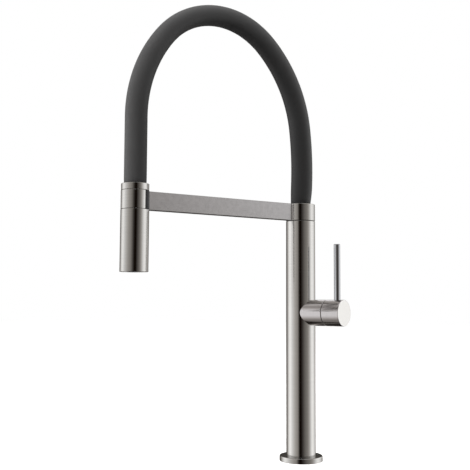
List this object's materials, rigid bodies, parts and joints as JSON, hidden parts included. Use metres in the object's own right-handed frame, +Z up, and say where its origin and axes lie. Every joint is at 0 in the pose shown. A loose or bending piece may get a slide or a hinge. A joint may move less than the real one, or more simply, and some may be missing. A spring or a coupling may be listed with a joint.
{
  "type": "pull down kitchen faucet",
  "caption": "Slim brushed steel kitchen faucet with a black arched flexible hose, a flat arm that docks a round spray head, and a side lever rod.",
  "frame": {"origin": "centre of the base, in the plane where the flange stands on the deck, at the mouth of the shank thread", "axes": "+Z up along the column, +X out along the lever axis, -Y towards the user"},
  "size_m": [0.1537, 0.2462, 0.5286],
  "materials": {
    "steel": "satin brushed stainless steel",
    "arm_steel": "fine brushed flat stainless steel",
    "rod_steel": "satin turned stainless steel",
    "core_steel": "plain magnetic stainless steel",
    "spring_steel": "bright spring steel",
    "screw_steel": "plain screw steel",
    "brass": "machined brass",
    "copper_tube": "drawn copper alloy tube",
    "seal_rubber": "black seal rubber",
    "nozzle_rubber": "dark grey silicone",
    "hose_black": "matte black elastomer",
    "black_plastic": "black moulded plastic",
    "cartridge_plastic": "off-white moulded plastic",
    "valve_plastic": "blue moulded plastic",
    "inner_hose_plastic": "natural drinking water tube",
    "ceramic": "lapped alumina",
    "magnet": "plated magnet"
  },
  "bodies": {
    "base": {"base_flange": "steel", "base_gasket": "seal_rubber", "shank_bush": "brass", "column_tube": "steel", "valve_body": "brass", "outlet_tube": "copper_tube", "outlet_seals": "seal_rubber", "lever_housing": "steel", "cartridge_base": "cartridge_plastic", "cartridge_seals": "seal_rubber", "ceramic_disc_fixed": "ceramic", "cartridge_shell": "cartridge_plastic", "cartridge_nut": "brass", "swivel_spigot": "brass", "spigot_seals": "seal_rubber", "swivel_clip": "spring_steel", "slide_washer": "black_plastic"},
    "lever": {"ceramic_disc_moving": "ceramic", "cartridge_stem": "brass", "lever_cap": "steel", "lever_rod": "rod_steel", "lever_set_screw": "screw_steel"},
    "swivel": {"swivel_collar": "steel", "hose_socket": "brass", "socket_seal": "seal_rubber", "collar_set_screw": "screw_steel", "support_arm": "arm_steel", "arm_screws": "screw_steel", "dock_pad": "black_plastic", "dock_magnets": "magnet", "dock_screw": "screw_steel", "hose_sleeve": "hose_black", "support_spring": "spring_steel", "inner_hose": "inner_hose_plastic"},
    "neck": {"neck_cap": "steel", "dock_band": "steel", "neck_core": "core_steel", "hose_ferrule": "brass", "joint_clip": "spring_steel", "joint_seals": "seal_rubber"},
    "head": {"head_shell": "steel", "head_joint": "brass", "check_valve": "valve_plastic", "water_guide": "cartridge_plastic", "aerator_housing": "cartridge_plastic", "flow_screen": "spring_steel", "spray_plate": "nozzle_rubber"}
  },
  "joints": [
    {"name": "lever_turn", "type": "hinge", "parent": "base", "child": "lever", "pos_m": [0.0369, 0, 0.174], "axis": [1, 0, 0], "range_deg": [0, 100]},
    {"name": "arm_swivel", "type": "hinge", "parent": "base", "child": "swivel", "pos_m": [0, 0, 0.2844], "axis": [0, 0, 1], "continuous": true},
    {"name": "head_undock", "type": "slide", "parent": "swivel", "child": "neck", "axis": [-0.3584, -0.9336, 0], "range_m": [0, 0.04], "deforming": ["hose_sleeve", "support_spring", "inner_hose"]},
    {"name": "head_turn", "type": "hinge", "parent": "neck", "child": "head", "pos_m": [-0.07884, -0.20539, 0.284], "axis": [0, 0, 1], "continuous": true}
  ]
}
